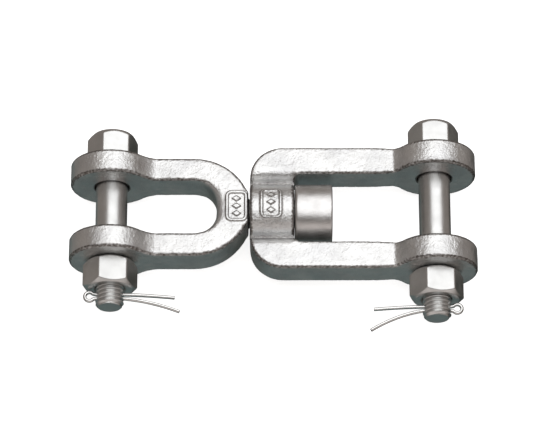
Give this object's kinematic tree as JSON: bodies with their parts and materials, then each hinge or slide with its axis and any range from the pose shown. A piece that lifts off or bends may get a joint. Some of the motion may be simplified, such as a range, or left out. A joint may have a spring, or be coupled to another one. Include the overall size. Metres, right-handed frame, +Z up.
{
  "type": "jaw and jaw swivel",
  "caption": "Cast stainless swivel joining two clevis jaws, each closed by a hex bolt with its nut and a cotter pin.",
  "frame": {"origin": "on the swivel axis, at the centre of the flat outer end of the shank inside the swivel nut", "axes": "+X along the swivel axis from the bow jaw towards the body jaw, Y along both bolts with their heads at +Y, +Z up as the fitting lies on the rims of its ears"},
  "size_m": [0.1443, 0.0794, 0.0296],
  "materials": {
    "cast_steel": "blasted and tumbled stainless casting, satin with a fine grain",
    "turned_steel": "turned and tumbled stainless, smooth satin",
    "steel_wire": "bright drawn stainless wire"
  },
  "bodies": {
    "body_jaw": {"body_jaw": "cast_steel"},
    "bow_jaw": {"bow_jaw": "cast_steel", "swivel_nut": "turned_steel"},
    "bow_bolt": {"bow_bolt": "turned_steel", "bow_nut": "turned_steel", "bow_cotter_pin": "steel_wire"},
    "body_bolt": {"body_bolt": "turned_steel", "body_nut": "turned_steel", "body_cotter_pin": "steel_wire"}
  },
  "joints": [
    {"name": "swivel", "type": "hinge", "parent": "body_jaw", "child": "bow_jaw", "pos_m": [-0.0214, 0, 0], "axis": [1, 0, 0], "continuous": true},
    {"name": "bow_bolt_turn", "type": "hinge", "parent": "bow_jaw", "child": "bow_bolt", "pos_m": [-0.0783, 0, 0], "axis": [0, 1, 0], "continuous": true},
    {"name": "body_bolt_turn", "type": "hinge", "parent": "body_jaw", "child": "body_bolt", "pos_m": [0.0364, 0, 0], "axis": [0, 1, 0], "continuous": true}
  ]
}
